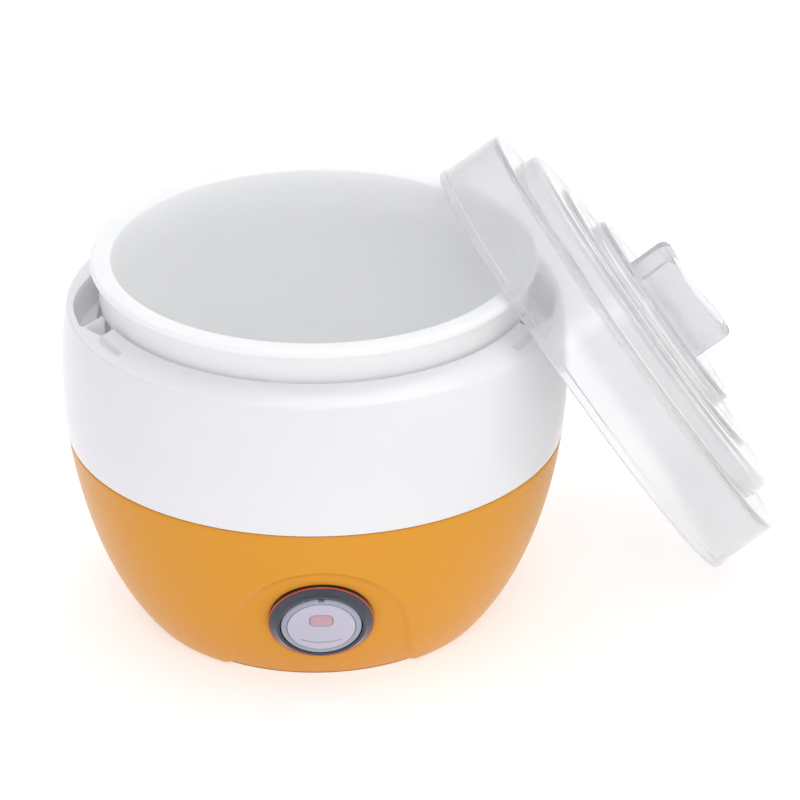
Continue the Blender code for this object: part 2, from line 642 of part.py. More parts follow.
def make_base_cover():
    corners = [(0, COVER_UNDERSIDE), (COVER_RADIUS, COVER_UNDERSIDE)]
    corners += [(COVER_RADIUS, COVER_TOP), (0, COVER_TOP)]
    cover = add("base_cover", turned(corners, CUP_STEPS), WHITE)
    seat = COVER_UNDERSIDE + 0.0012
    for index in range(4):
        frame = around(BASE_SCREW_CIRCLE, 45 + 90 * index)
        cut(cover, add(f"head_sink_{index}", cylinder(0.0034, 0.0, seat, 12), WHITE, frame))
        cut(cover, add(f"cover_hole_{index}", cylinder(0.0017, 0.0, 0.010, 10), WHITE, frame))
        name = f"base_screw_{index + 1}"
        screw = make_screw(name, COVER_UNDERSIDE + 0.0009, 0.0130, 0.0013, 0.0029, frame)
        cut_cross(screw, name, COVER_UNDERSIDE + 0.0009, 0.0029, frame)
    for index, degrees in enumerate((20, 160, 200, 340)):
        frame = around(FOOT_CIRCLE, degrees)
        cup = cylinder(FOOT_RADIUS + 0.0014, COVER_TOP - 0.0005, 0.0056, 16)
        join(cover, add(f"foot_cup_{index}", cup, WHITE, frame))
        cut(cover, add(f"foot_sink_{index}", cylinder(FOOT_RADIUS + GAP, 0.0, 0.0043, 16), WHITE, frame))
        outline = [(0, 0.0), (FOOT_RADIUS - 0.0006, 0.0), (FOOT_RADIUS, 0.0006)]
        outline += [(FOOT_RADIUS, 0.0040), (0, 0.0040)]
        add(f"rubber_foot_{index + 1}", turned(outline, 16), RUBBER, frame)
    for index in range(3):
        offset = (index - 1) * 0.0056
        slot = rounded_block(0.0024, 0.0170, 0.0008, 0.0, 0.010, 1)
        cut(cover, add(f"vent_{index}", slot, WHITE, Matrix.Translation((offset, 0.0260, 0))))


def make_inlet():
    """Two-pin socket, its face flush with the bowl at the back."""
    half = INLET_WIDTH / 2
    tall = INLET_TALL / 2
    to_back = Matrix.Translation((0, 0, INLET_HEIGHT)) @ Matrix.Rotation(-math.pi / 2, 4, "X")
    section = [(-half, -tall), (half, -tall), (half, tall), (-half, tall)]
    body = add("power_inlet", prism(section, INLET_BACK, 0.080),
               BLACK, to_back)
    boolean(body, add("inlet_flush", bowl_solid(0.0003), BLACK), "INTERSECT")
    lobe = 0.0040
    outline = []
    for side in (1, -1):
        for step in range(9):
            angle = math.pi * (step / 8 - 0.5)
            x = side * (PIN_SPACING / 2 + lobe * math.cos(angle))
            outline.append((x, side * lobe * math.sin(angle)))
    cut(body, add("inlet_cavity", prism(outline, 0.0540, 0.090), BLACK, to_back))
    for index, side in enumerate((-1, 1)):
        frame = to_back @ Matrix.Translation((side * PIN_SPACING / 2, 0, 0))
        cut(body, add(f"pin_hole_{index}", cylinder(0.0015, 0.040, 0.060, 12), BLACK, frame))
        pin = [(0, 0.0470), (0.0012, 0.0470), (0.0012, 0.0640), (0.0007, 0.0648), (0, 0.0648)]
        add(f"inlet_pin_{index + 1}", turned(pin, 12), BRASS, frame)


def smooth_route(points, steps):
    """Catmull-Rom points through a route given as a short list of places."""
    places = [Vector(point) for point in points]
    places = [2 * places[0] - places[1]] + places + [2 * places[-1] - places[-2]]
    route = []
    for index in range(1, len(places) - 2):
        a, b, c, d = places[index - 1:index + 3]
        for step in range(steps):
            t = step / steps
            route.append(0.5 * (2 * b + (c - a) * t + (2 * a - 5 * b + 4 * c - d) * t * t
                                + (3 * b - a - 3 * c + d) * t ** 3))
    return route + [places[-2]]


def make_wire(name, spec, points):
    route = smooth_route(points, 3)
    curve = bpy.data.curves.new(name, "CURVE")
    curve.dimensions = "3D"
    curve.bevel_depth = 0.0008
    curve.bevel_resolution = 1
    curve.use_fill_caps = True
    spline = curve.splines.new("POLY")
    spline.points.add(len(route) - 1)
    for place, point in zip(route, spline.points):
        point.co = (*place, 1.0)
    curve.materials.append(material(spec))
    bpy.context.scene.collection.objects.link(bpy.data.objects.new(name, curve))


def make_wires():
    make_wire("wire_live", WIRE_RED, [(-0.0043, 0.0460, 0.0240), (-0.0060, 0.0420, 0.0230),
              (-0.0200, 0.0360, 0.0150), (-0.0340, 0.0140, 0.0110), (-0.0350, -0.0100, 0.0110),
              (-0.0210, -0.0300, 0.0160), (-0.0080, -0.0430, 0.0280), (-0.0045, -0.0508, 0.0360)])
    make_wire("wire_switched", WIRE_RED, [(0.0045, -0.0508, 0.0360), (0.0080, -0.0430, 0.0290),
              (0.0170, -0.0300, 0.0220), (0.0260, -0.0120, 0.0210), (0.0240, 0.0060, 0.0240),
              (0.0160, 0.0150, 0.0290), (0.0110, 0.0175, 0.0312)])
    make_wire("wire_fuse", WIRE_RED, [(-0.0110, 0.0175, 0.0312), (-0.0190, 0.0140, 0.0280),
              (-0.0250, 0.0010, 0.0270), (-0.0200, -0.0120, 0.0320), (-0.0140, -0.0145, 0.0350),
              (-0.0098, -0.0145, 0.0352)])
    make_wire("wire_neutral", WIRE_BLUE, [(0.0043, 0.0460, 0.0240), (0.0070, 0.0420, 0.0230),
              (0.0180, 0.0340, 0.0220), (0.0200, 0.0230, 0.0270), (0.0150, 0.0150, 0.0340),
              (0.0115, 0.0120, 0.0363)])


def grip_outline(shrink):
    """Side view of the lid's grip: nearly square ends and a hollow top."""
    top = GRIP_HEIGHT - shrink
    foot = GRIP_BASE - shrink
    tip = GRIP_TIP - shrink
    corners = [(-foot, -0.004, 0), (foot, -0.004, 0), (foot, 0.0006, 0), (tip, top, 0.0026)]
    for step in range(1, 6):
        share = step / 6
        corners.append((tip * (1 - 2 * share), top - GRIP_DIP * math.sin(math.pi * share), 0))
    corners += [(-tip, top, 0.0026), (-foot, 0.0006, 0)]
    return fillet(corners, 3)


def make_lid():
    """Clear turned lid with a raised step, a low ledge and a crown, and a hollow grip on top."""
    step_radius, step_rise = LID_STEP
    ledge_radius, ledge_rise = LID_LEDGE
    crown_radius, crown_rise = LID_CROWN
    wall = LID_WALL
    top = LID_HEIGHT
    step_top = top + step_rise
    ledge_top = step_top + ledge_rise
    crown_top = ledge_top + crown_rise
    step_inside = step_radius - wall
    ledge_inside = ledge_radius - wall
    crown_inside = crown_radius - wall
    corners = [(LID_RADIUS, 0, 0.0004), (LID_RADIUS, top, 0.0018), (step_radius, top, 0.0008)]
    corners += [(step_radius, step_top, 0.0026), (ledge_radius, step_top, 0.0006)]
    corners += [(ledge_radius, ledge_top, 0.0012), (crown_radius, ledge_top, 0.0006)]
    corners += [(crown_radius, crown_top, 0.0012), (0, crown_top, 0), (0, crown_top - wall, 0)]
    corners += [(crown_inside, crown_top - wall, 0), (crown_inside, ledge_top - wall, 0)]
    corners += [(ledge_inside, ledge_top - wall, 0), (ledge_inside, step_top - wall, 0)]
    corners += [(step_inside, step_top - wall, 0.0010), (step_inside, top - wall, 0)]
    corners += [(LID_RADIUS - wall, top - wall, 0), (LID_RADIUS - wall, 0, 0.0004)]
    frame = lid_frame()
    lid = add("lid", turned(fillet(corners, 2), ROUND_STEPS), CLEAR, frame)
    on_crown = frame @ Matrix.Translation((0, 0, crown_top)) @ Matrix.Rotation(math.pi / 2, 4, "X")
    grip = add("lid_grip", prism(grip_outline(0.0), -GRIP_WIDTH / 2, GRIP_WIDTH / 2), CLEAR, on_crown)
    join(lid, grip)
    half = GRIP_WIDTH / 2 - wall
    core = add("lid_grip_core", prism(grip_outline(wall), -half, half), CLEAR, on_crown)
    cut(lid, core)


def main():
    clear_scene()
    make_upper_shell()
    make_lower_shell()
    make_inner_well()
    make_inner_pot()
    make_heater()
    make_well_screws()
    make_thermostat()
    make_thermal_fuse()
    make_bezel()
    make_button()
    make_switch()
    make_button_spring()
    make_base_cover()
    make_inlet()
    make_wires()
    make_lid()


main()
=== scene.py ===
"""Looks of the yogurt maker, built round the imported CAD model.

Metres, +Z up, the front at -Y. Shells, pot, lid and button are made again here as smooth, rounded
mouldings on the CAD's own dimensions; the other CAD nodes stay and only get a finish.
"""
import json
import math

import bpy
import numpy as np
from mathutils import Matrix, Vector


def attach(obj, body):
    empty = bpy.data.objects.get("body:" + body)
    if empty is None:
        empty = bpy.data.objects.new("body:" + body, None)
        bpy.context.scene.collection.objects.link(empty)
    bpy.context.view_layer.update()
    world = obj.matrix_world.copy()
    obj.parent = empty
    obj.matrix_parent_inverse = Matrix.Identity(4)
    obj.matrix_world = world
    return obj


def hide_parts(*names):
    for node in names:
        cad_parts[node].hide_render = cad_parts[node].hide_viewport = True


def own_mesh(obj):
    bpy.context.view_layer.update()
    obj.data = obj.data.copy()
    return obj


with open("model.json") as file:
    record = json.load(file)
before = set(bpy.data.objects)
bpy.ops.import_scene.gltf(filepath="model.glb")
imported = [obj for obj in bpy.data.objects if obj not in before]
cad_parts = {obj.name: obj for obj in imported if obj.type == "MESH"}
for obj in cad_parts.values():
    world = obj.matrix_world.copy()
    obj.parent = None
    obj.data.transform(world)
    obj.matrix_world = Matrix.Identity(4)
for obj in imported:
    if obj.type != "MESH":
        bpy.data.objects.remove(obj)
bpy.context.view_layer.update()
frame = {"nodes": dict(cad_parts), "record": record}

# Camera: where it looks, from how far, and from which side
VIEW_TURN = math.radians(-2.1)
VIEW_ELEVATION = math.radians(26.885)
VIEW_TARGET = (0.0283, 0.0, 0.0738)
VIEW_DISTANCE = 1.6315
VIEW_LENS = 219.4

# Bowl curve of the housing, as in the CAD
BOWL_RADIUS = 0.0840
BOWL_WIDEST = 0.0818
BOWL_DEPTH = 0.0995
PARTING = 0.0665
SHOULDER_EDGE = 0.1121
SHOULDER_TOP = 0.1165
SHOULDER_HOLE = 0.0722
SHELL_BOTTOM = 0.0008
WALL = 0.0022
SEAM = 0.00015             # half the gap between the two shells

# Finger pockets in the shoulder: angles are degrees towards the front from +X and -X
POCKET = (-12.0, 15.0)
POCKET_NEXT = (16.8, 23.5)
POCKET_GROOVE = (24.0, 34.5)
POCKET_BUMP = 36.0
POCKET_OUTER = 0.0792
POCKET_DEPTH = 0.0105

# Button and the arched recess round it
BUTTON_HEIGHT = 0.0295
BUTTON_TILT = math.radians(20.5)
PANEL_DEPTH = 0.0018
PANEL_EDGE = 0.0024
ARCH_RADIUS = 0.0286
ARCH_CENTRE = 0.0225
ARCH_FOOT = 0.0313
BEZEL_RADIUS = 0.0170
BUTTON_RADIUS = 0.0132
BUTTON_FACE = 0.0024
INLAY_RADIUS = 0.0111
SPRING_RADIUS = 0.0062

# Inlet socket at the back
INLET_HEIGHT = 0.0240
INLET_SIZE = (0.0226, 0.0136)

# Lid, in its own frame
LID_RADIUS = 0.0813
LID_HEIGHT = 0.0235
LID_WALL = 0.0018
LID_STEP = (0.0679, 0.0073)
LID_LEDGE = (0.0528, 0.0017)
LID_CROWN = (0.0366, 0.0040)
LID_AZIMUTH = math.radians(9.2)
LID_ELEVATION = math.radians(34.0)
LID_POSITION = (0.0892, 0.0141)
LID_CLEARANCE = 0.0090
GRIP_BASE = 0.0186
GRIP_TIP = 0.0189
GRIP_HEIGHT = 0.0135
GRIP_DIP = 0.0017
GRIP_WIDTH = 0.0130

FINE = 256                 # steps round a large turned piece

# Emission that imitates over-exposed light; the real plastics have none
SHELL_GLOW = 0.02
POT_GLOW = 0.07
LID_GLOW = 0.018
FLOOR_GLOW = 0.55
GLOSS_GRAIN = 2400.0       # scale of the polished shells' surface grain

# Studio: colours round the sky from its left side to its right side
SKY_STRENGTH = 0.96
SKY = [(0.0, (0.30, 0.28, 0.38)), (0.10, (0.40, 0.38, 0.48)), (0.22, (0.85, 0.85, 0.90)),
       (0.38, (1.0, 1.0, 1.0)), (1.0, (1.0, 1.0, 1.0))]


# ---------------------------------------------------------------- materials

def new_material(name):
    made = bpy.data.materials.new(name)
    made.use_nodes = True
    return made, made.node_tree, made.node_tree.nodes["Principled BSDF"]


def link(tree, source, output, target, socket):
    tree.links.new(source.outputs[output], target.inputs[socket])


def noise(tree, scale, detail=2.0, stretch=None):
    """Noise in the object's own space, stretched along its axes if asked."""
    place = tree.nodes.new("ShaderNodeTexCoord")
    texture = tree.nodes.new("ShaderNodeTexNoise")
    texture.inputs["Scale"].default_value = scale
    texture.inputs["Detail"].default_value = detail
    if stretch is None:
        link(tree, place, "Object", texture, "Vector")
        return texture
    mapping = tree.nodes.new("ShaderNodeMapping")
    mapping.inputs["Scale"].default_value = stretch
    link(tree, place, "Object", mapping, "Vector")
    link(tree, mapping, "Vector", texture, "Vector")
    return texture


def vary_colour(tree, shader, source, dark, light):
    ramp = tree.nodes.new("ShaderNodeValToRGB")
    ramp.color_ramp.elements[0].position = 0.3
    ramp.color_ramp.elements[1].position = 0.7
    ramp.color_ramp.elements[0].color = (*dark, 1.0)
    ramp.color_ramp.elements[1].color = (*light, 1.0)
    link(tree, source, "Fac", ramp, "Fac")
    link(tree, ramp, "Color", shader, "Base Color")
    return ramp


def vary_roughness(tree, shader, source, low, high):
    reach = tree.nodes.new("ShaderNodeMapRange")
    reach.inputs["From Min"].default_value = 0.3
    reach.inputs["From Max"].default_value = 0.7
    reach.inputs["To Min"].default_value = low
    reach.inputs["To Max"].default_value = high
    link(tree, source, "Fac", reach, "Value")
    link(tree, reach, "Result", shader, "Roughness")


def add_bump(tree, shader, source, strength, distance, output="Fac"):
    bump = tree.nodes.new("ShaderNodeBump")
    bump.inputs["Strength"].default_value = strength
    bump.inputs["Distance"].default_value = distance
    link(tree, source, output, bump, "Height")
    link(tree, bump, "Normal", shader, "Normal")


def moulded_plastic(name, dark, light, roughness, texture_scale=900.0, bump=0.06, coat=0.0, subsurface=0.0,
                    glow=0.0, specular=0.5):
    """Moulded plastic: slight cloudiness, uneven gloss, and a fine tool-surface texture."""
    made, tree, shader = new_material(name)
    cloud = noise(tree, 22.0, 3.0)
    fine = noise(tree, texture_scale, 2.0)
    vary_colour(tree, shader, cloud, dark, light)
    vary_roughness(tree, shader, fine, roughness * 0.85, roughness * 1.2)
    add_bump(tree, shader, fine, bump, 0.00005)
    shader.inputs["IOR"].default_value = 1.49
    shader.inputs["Specular IOR Level"].default_value = specular
    shader.inputs["Coat Weight"].default_value = coat
    shader.inputs["Coat Roughness"].default_value = 0.08
    if glow:
        shader.inputs["Emission Color"].default_value = (1.0, 1.0, 1.0, 1.0)
        shader.inputs["Emission Strength"].default_value = glow
    if subsurface:
        shader.inputs["Subsurface Weight"].default_value = subsurface
        shader.inputs["Subsurface Radius"].default_value = (1.0, 0.9, 0.85)
        shader.inputs["Subsurface Scale"].default_value = 0.004
    return made


def frosted_plastic(name):
    """Natural polypropylene: milky, half lets light through, with a fine frosted surface."""
    made, tree, shader = new_material(name)
    cloud = noise(tree, 30.0, 3.0)
    grain = noise(tree, 1800.0, 2.0)
    vary_colour(tree, shader, cloud, (0.90, 0.91, 0.92), (0.94, 0.945, 0.95))
    vary_roughness(tree, shader, grain, 0.30, 0.42)
    add_bump(tree, shader, grain, 0.10, 0.00005)
    shader.inputs["IOR"].default_value = 1.49
    shader.inputs["Transmission Weight"].default_value = 0.30
    shader.inputs["Subsurface Weight"].default_value = 0.45
    shader.inputs["Subsurface Radius"].default_value = (1.0, 1.0, 1.0)
    shader.inputs["Subsurface Scale"].default_value = 0.005
    shader.inputs["Emission Color"].default_value = (1.0, 1.0, 1.0, 1.0)
    shader.inputs["Emission Strength"].default_value = POT_GLOW
    return made


def clear_plastic(name):
    """Clear moulded lid: a faint cool tint and a polished skin with a very slight unevenness."""
    made, tree, shader = new_material(name)
    ripple = noise(tree, 35.0, 1.0)
    haze = noise(tree, 400.0, 2.0)
    vary_colour(tree, shader, ripple, (0.86, 0.865, 0.88), (0.89, 0.895, 0.91))
    vary_roughness(tree, shader, haze, 0.14, 0.19)
    add_bump(tree, shader, haze, 0.02, 0.00005)
    shader.inputs["IOR"].default_value = 1.38
    shader.inputs["Transmission Weight"].default_value = 0.80
    shader.inputs["Emission Color"].default_value = (0.95, 0.96, 1.0, 1.0)
    shader.inputs["Emission Strength"].default_value = LID_GLOW
    return made


def metal(name, dark, light, roughness, stretch):
    """Metal with directional machining or plating marks."""
    made, tree, shader = new_material(name)
    brushed = noise(tree, 300.0, 4.0, stretch)
    vary_colour(tree, shader, brushed, dark, light)
    vary_roughness(tree, shader, brushed, roughness * 0.7, roughness * 1.3)
    add_bump(tree, shader, brushed, 0.08, 0.00005)
    shader.inputs["Metallic"].default_value = 1.0
    return made


def lamp_lens(name):
    """Tinted lens of the indicator."""
    made, tree, shader = new_material(name)
    cloud = noise(tree, 500.0, 2.0)
    vary_colour(tree, shader, cloud, (0.52, 0.20, 0.20), (0.66, 0.30, 0.29))
    vary_roughness(tree, shader, cloud, 0.12, 0.22)
    add_bump(tree, shader, cloud, 0.05, 0.00003)
    return made


def make_materials():
    return {
        "white": moulded_plastic("white_plastic", (0.745, 0.74, 0.76), (0.765, 0.76, 0.775), 0.22,
                                 GLOSS_GRAIN, 0.02, subsurface=0.15, glow=SHELL_GLOW),
        "orange": moulded_plastic("orange_plastic", (0.675, 0.290, 0.022), (0.695, 0.300, 0.025), 0.30,
                                  GLOSS_GRAIN, 0.01, specular=0.22),
        "frosted": frosted_plastic("frosted_plastic"),
        "clear": clear_plastic("clear_plastic"),
        "black": moulded_plastic("black_plastic", (0.012, 0.016, 0.032), (0.020, 0.026, 0.050), 0.16,
                                 coat=0.4),
        "grey": moulded_plastic("grey_plastic", (0.30, 0.32, 0.40), (0.36, 0.38, 0.46), 0.22,
                                subsurface=0.2),
        "pale": moulded_plastic("pale_plastic", (0.46, 0.45, 0.56), (0.54, 0.52, 0.62), 0.30),
        "lens": lamp_lens("red_lamp"),
        "window": moulded_plastic("window_plastic", (0.46, 0.33, 0.38), (0.58, 0.27, 0.30), 0.14),
        "print": moulded_plastic("print_ink", (0.26, 0.25, 0.34), (0.32, 0.31, 0.40), 0.35),
        "seal": moulded_plastic("seal_rubber", (0.62, 0.06, 0.015), (0.70, 0.09, 0.02), 0.40),
        "rubber": moulded_plastic("foot_rubber", (0.10, 0.10, 0.105), (0.14, 0.14, 0.145), 0.75,
                                  600.0, 0.3),
        "silicone": moulded_plastic("silicone", (0.50, 0.50, 0.50), (0.60, 0.60, 0.60), 0.65, 500.0, 0.2),
        "ceramic": moulded_plastic("ceramic", (0.66, 0.64, 0.60), (0.76, 0.74, 0.70), 0.60, 700.0, 0.25),
        "red_wire": moulded_plastic("red_wire", (0.50, 0.03, 0.02), (0.60, 0.05, 0.03), 0.40),
        "blue_wire": moulded_plastic("blue_wire", (0.04, 0.11, 0.45), (0.06, 0.15, 0.55), 0.40),
        "aluminium": metal("aluminium", (0.70, 0.71, 0.72), (0.82, 0.83, 0.84), 0.32, (1.0, 14.0, 1.0)),
        "steel": metal("zinc_steel", (0.55, 0.56, 0.58), (0.68, 0.69, 0.71), 0.34, (6.0, 6.0, 1.0)),
        "brass": metal("brass", (0.70, 0.52, 0.22), (0.80, 0.62, 0.30), 0.26, (1.0, 8.0, 1.0)),
    }


# ---------------------------------------------------------------- shapes

def new_object(name, vertices, faces, material, place=None):
    mesh = bpy.data.meshes.new(name)
    mesh.from_pydata(vertices, [], faces)
    mesh.materials.append(material)
    item = bpy.data.objects.new(name, mesh)
    bpy.context.scene.collection.objects.link(item)
    if place is not None:
        mesh.transform(place)
    mesh.update()
    mesh.shade_smooth()
    mesh.set_sharp_from_angle(angle=math.radians(38))
    return item


def fillet(corners, steps=5):
    """Closed outline through (x, z, radius) corners, each rounded by its own radius."""
    outline = []
    for index, (x, z, radius) in enumerate(corners):
        here = Vector((x, z))
        if radius == 0:
            outline.append((x, z))
            continue
        before = (Vector(corners[index - 1][:2]) - here).normalized()
        after = (Vector(corners[(index + 1) % len(corners)][:2]) - here).normalized()
        half = before.angle(after) / 2
        centre = here + (before + after).normalized() * radius / math.sin(half)
        start = here + before * radius / math.tan(half) - centre
        end = here + after * radius / math.tan(half) - centre
        for step in range(steps + 1):
            share = step / steps
            spoke = (start * (1 - share) + end * share).normalized()
            outline.append(tuple(centre + spoke * radius))
    return outline


def even_angles(steps=FINE):
    return [2 * math.pi * step / steps for step in range(steps)]


def turned(name, outline, material, angles=None, shape=None, place=None):
    """Turn a closed (radius, height) outline, given anticlockwise, round Z.

    Points at radius 0 become poles. shape(points) may move the (x, y, z) rows before the mesh is made.
    """
    angles = even_angles() if angles is None else angles
    rings = []
    points = []
    for radius, height in outline:
        if radius < 1e-7:
            rings.append([len(points)] * len(angles))
            points.append((0.0, 0.0, height))
            continue
        rings.append(list(range(len(points), len(points) + len(angles))))
        points += [(radius * math.cos(angle), radius * math.sin(angle), height) for angle in angles]
    if shape is not None:
        points = shape(np.array(points)).tolist()
    faces = []
    for index, ring in enumerate(rings):
        following = rings[(index + 1) % len(rings)]
        for step in range(len(angles)):
            after = (step + 1) % len(angles)
            corners = list(dict.fromkeys((ring[step], ring[after], following[after], following[step])))
            if len(corners) > 2:
                faces.append(corners)
    return new_object(name, points, faces, material, place)


def prism(name, outline, low, high, material, place=None):
    """Extrude a closed anticlockwise (x, y) outline from z = low to z = high."""
    count = len(outline)
    points = [(x, y, low) for x, y in outline] + [(x, y, high) for x, y in outline]
    faces = [list(range(count))[::-1], list(range(count, 2 * count))]
    for index in range(count):
        after = (index + 1) % count
        faces.append([index, after, after + count, index + count])
    return new_object(name, points, faces, material, place)


def apply_modifiers(item):
    graph = bpy.context.evaluated_depsgraph_get()
    mesh = bpy.data.meshes.new_from_object(item.evaluated_get(graph))
    item.modifiers.clear()
    item.data = mesh
    mesh.shade_smooth()
    mesh.set_sharp_from_angle(angle=math.radians(38))


def combine(target, tool, operation):
    """Cut or join target with tool, which is then deleted."""
    change = target.modifiers.new("combine", "BOOLEAN")
    change.operation = operation
    change.object = tool
    apply_modifiers(target)
    bpy.data.objects.remove(tool, do_unlink=True)


def soften(item, width, segments=3, angle=35):
    bevel = item.modifiers.new("soften", "BEVEL")
    bevel.width = width
    bevel.segments = segments
    bevel.limit_method = "ANGLE"
    bevel.angle_limit = math.radians(angle)
    apply_modifiers(item)


def smoothstep(low, high, value):
    share = np.clip((value - low) / (high - low), 0.0, 1.0)
    return share * share * (3 - 2 * share)


def bowl(height):
    """The housing's outer radius at a height."""
    fall = BOWL_WIDEST - height
    if fall > 0:
        return BOWL_RADIUS * (1 - (fall / BOWL_DEPTH) ** 1.67) ** (1 / 3.28)
    return BOWL_RADIUS - 0.0012 * (-fall / 0.026) ** 3.3


def bowl_curve(low, high, inset, steps):
    heights = [low + (high - low) * step / steps for step in range(steps + 1)]
    return [(bowl(height) - inset, height) for height in heights]


def dense_angles(centres, half_width, fine, coarse):
    """Angles in degrees round the circle, closer together near each centre."""
    angles = []
    at = 0.0
    while at < 360.0 - 1e-6:
        angles.append(math.radians(at))
        near = any(abs((at - centre + 180) % 360 - 180) < half_width for centre in centres)
        at += fine if near else coarse
    return angles


def button_frame():
    middle = Vector((0, -(bowl(BUTTON_HEIGHT) - PANEL_DEPTH), BUTTON_HEIGHT))
    return Matrix.Translation(middle) @ Matrix.Rotation(math.pi / 2 + BUTTON_TILT, 4, "X")


def lid_frame():
    tilt = math.pi / 2 - LID_ELEVATION
    spin = Matrix.Rotation(LID_AZIMUTH, 4, "Z")
    height = LID_RADIUS * math.cos(LID_ELEVATION) + LID_CLEARANCE
    centre = Matrix.Translation((LID_POSITION[0], LID_POSITION[1], height))
    return centre @ spin @ Matrix.Rotation(tilt, 4, "Y")


# ---------------------------------------------------------------- housing

def pocket_depth(points):
    """How far the shoulder drops at each point: pockets, rib, mound groove and bump on each side."""
    radius = np.hypot(points[:, 0], points[:, 1])
    forward = np.degrees(np.arctan2(-points[:, 1], np.abs(points[:, 0])))

    def between(start, end, soft=1.2):
        opened = smoothstep(start - soft, start + soft, forward)
        return opened * (1 - smoothstep(end - soft, end + soft, forward))

    share = np.clip((forward - POCKET[0]) / (0.6 * (POCKET[1] - POCKET[0])), 0, 1)
    crescent = 0.0735 + (POCKET_OUTER - 0.0735) * np.sin(np.pi / 2 * share)
    deep = between(*POCKET) * (1 - smoothstep(-0.0010, 0.0008, radius - crescent))
    taper = (forward - POCKET_NEXT[0]) / (POCKET_NEXT[1] - POCKET_NEXT[0])
    small = between(*POCKET_NEXT) * (1 - smoothstep(-0.0009, 0.0007, radius - 0.0784 + 0.0022 * taper))
    drop = np.maximum(POCKET_DEPTH * deep, 0.78 * POCKET_DEPTH * small)
    groove = between(*POCKET_GROOVE, 0.8) * smoothstep(0.0762, 0.0774, radius) \
        * (1 - smoothstep(POCKET_OUTER - 0.0012, POCKET_OUTER, radius))
    drop = np.maximum(drop, 0.0016 * groove)
    across = np.hypot((radius - 0.0776) / 0.0012, np.radians(forward - POCKET_BUMP) * 0.0776 / 0.0013)
    return drop - 0.0007 * (1 - smoothstep(0.35, 1.0, across))


def shape_shoulder(points):
    """Lower the shoulder into the pockets, and keep the opening's edge under it."""
    radius = np.hypot(points[:, 0], points[:, 1])
    on_top = (points[:, 2] > 0.1034) & (radius < 0.0816) & (points[:, 2] > 0.1)
    slope = (SHOULDER_TOP - SHOULDER_EDGE) / (bowl(SHOULDER_EDGE) - SHOULDER_HOLE)
    fall = slope * (np.maximum(radius, SHOULDER_HOLE) - SHOULDER_HOLE)
    surface = SHOULDER_TOP - fall - pocket_depth(points)
    points[on_top, 2] = np.minimum(points[on_top, 2], surface[on_top])
    return points


def make_upper_shell(material):
    low = PARTING + SEAM
    edge = bowl(SHOULDER_EDGE)
    slope = (SHOULDER_TOP - SHOULDER_EDGE) / (edge - SHOULDER_HOLE)
    foot = [(bowl(low) - WALL, low, 0), (bowl(low), low, 0.0004), (bowl(low + 0.002), low + 0.002, 0)]
    outline = fillet(foot, 3)
    outline += bowl_curve(low + 0.003, SHOULDER_EDGE - 0.0016, 0, 36)
    corner = fillet([(bowl(SHOULDER_EDGE - 0.004), SHOULDER_EDGE - 0.004, 0), (edge, SHOULDER_EDGE, 0.0012),
                     (edge - 0.004, SHOULDER_EDGE + 0.004 * slope, 0)], 6)
    outline += corner[1:-1]
    count = 30
    start = edge - 0.0016
    for step in range(count + 1):
        radius = start + (SHOULDER_HOLE + 0.0007 - start) * step / count
        outline.append((radius, SHOULDER_TOP - slope * (radius - SHOULDER_HOLE)))
    outline += [(SHOULDER_HOLE + 0.0003, SHOULDER_TOP - 0.00025), (SHOULDER_HOLE, SHOULDER_TOP - 0.0008)]
    outline += [(SHOULDER_HOLE, SHOULDER_TOP - 0.0008 - 0.0124 * step / 14) for step in range(1, 15)]
    outline += [(SHOULDER_HOLE + 0.0018, 0.1031), (edge - WALL, 0.1031)]
    outline += list(reversed(bowl_curve(low + 0.001, 0.1020, WALL, 8)))
    angles = dense_angles((348.0, 192.0), 29.0, 0.3, 1.8)
    return turned("housing_top", outline, material, angles, shape_shoulder)


def arch_distance(x, z):
    """Signed distance in metres from the arch's outline, negative inside it."""
    round_part = np.hypot(x, z - ARCH_CENTRE) - ARCH_RADIUS
    half_width = ARCH_RADIUS + (ARCH_FOOT - ARCH_RADIUS) * (ARCH_CENTRE - z) / (ARCH_CENTRE + 0.006)
    return np.where(z > ARCH_CENTRE, round_part, np.abs(x) - half_width)


def shape_front(points):
    """Press the arched recess into the outside of the lower shell."""
    radius = np.hypot(points[:, 0], points[:, 1])
    outer = np.array([bowl(height) for height in np.clip(points[:, 2], 0, None)])
    outside = (radius > outer - 0.0012) & (points[:, 1] < 0)
    inward = 1 - smoothstep(-PANEL_EDGE / 2, PANEL_EDGE / 2, arch_distance(points[:, 0], points[:, 2]))
    scale = 1 - np.where(outside, PANEL_DEPTH * inward, 0.0) / radius
    backing = (radius < outer - 0.0012) & (points[:, 1] < 0) & (points[:, 2] > 0.004)
    behind = 1 - smoothstep(-0.001, 0.003, arch_distance(points[:, 0], points[:, 2]))
    scale -= np.where(backing, 0.0024 * behind, 0.0) / radius
    points[:, 0] *= scale
    points[:, 1] *= scale
    return points


